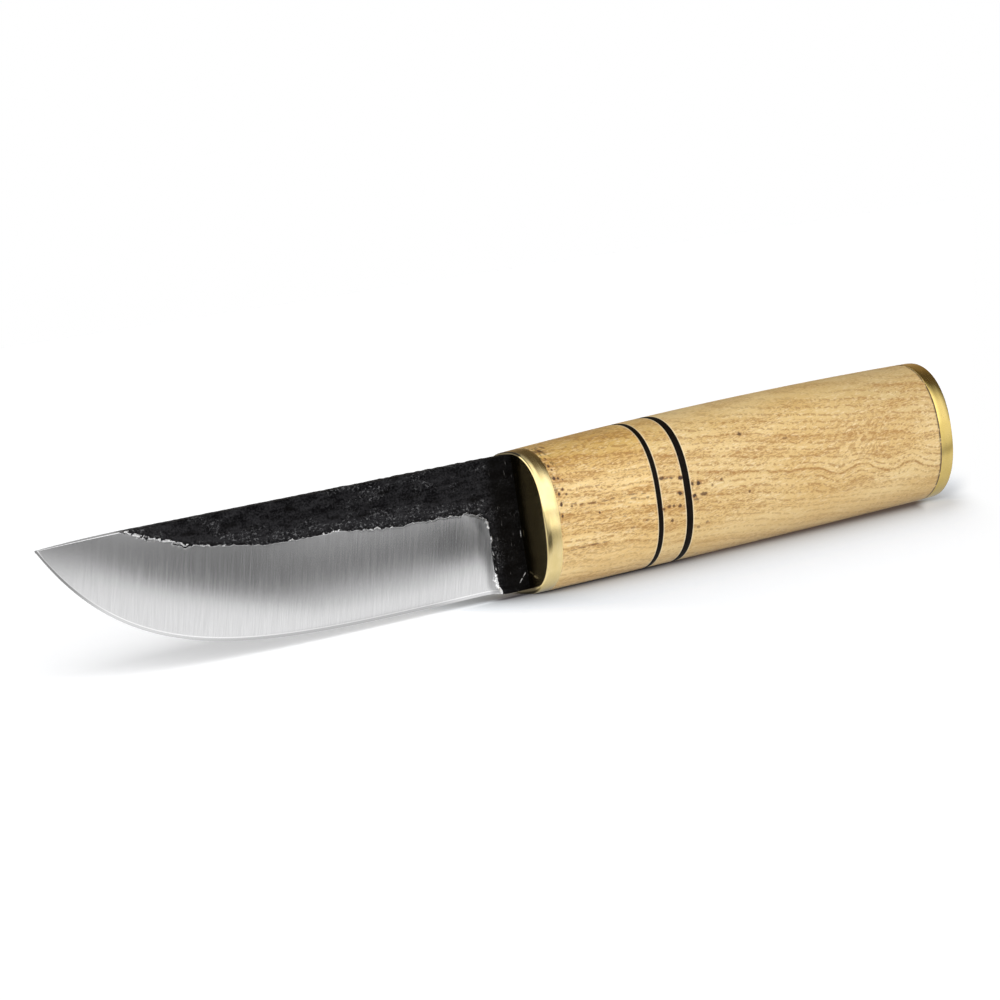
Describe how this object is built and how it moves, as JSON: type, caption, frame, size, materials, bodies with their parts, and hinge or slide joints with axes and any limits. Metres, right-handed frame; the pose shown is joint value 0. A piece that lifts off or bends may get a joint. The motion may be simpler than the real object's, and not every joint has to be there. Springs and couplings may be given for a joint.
{
  "type": "puukko knife",
  "caption": "Fixed-blade puukko with a forged, part-polished blade and a stacked handle of pale wood, black liners and brass end plates, for carving and camp work.",
  "frame": {"origin": "middle of the knife's box, on the surface that the belly of the handle stands on", "axes": "+X from the tip to the pommel, +Y across the blade, away from the picture's camera, +Z from the cutting edge to the spine"},
  "size_m": [0.214, 0.0224, 0.0306],
  "materials": {
    "blade_steel": "satin-ground bevel below black forge scale",
    "brass": "polished, fine sanding lines",
    "handle_wood": "oiled pale hardwood with brown pores",
    "liner": "black fibre, sanded flush",
    "bedding": "set epoxy, hidden"
  },
  "bodies": {
    "root": {"blade": "blade_steel", "bolster": "brass", "front_block": "handle_wood", "front_spacer": "liner", "handle_ring": "handle_wood", "rear_spacer": "liner", "main_block": "handle_wood", "pommel_plate": "brass", "tang_bedding": "bedding"}
  },
  "joints": []
}
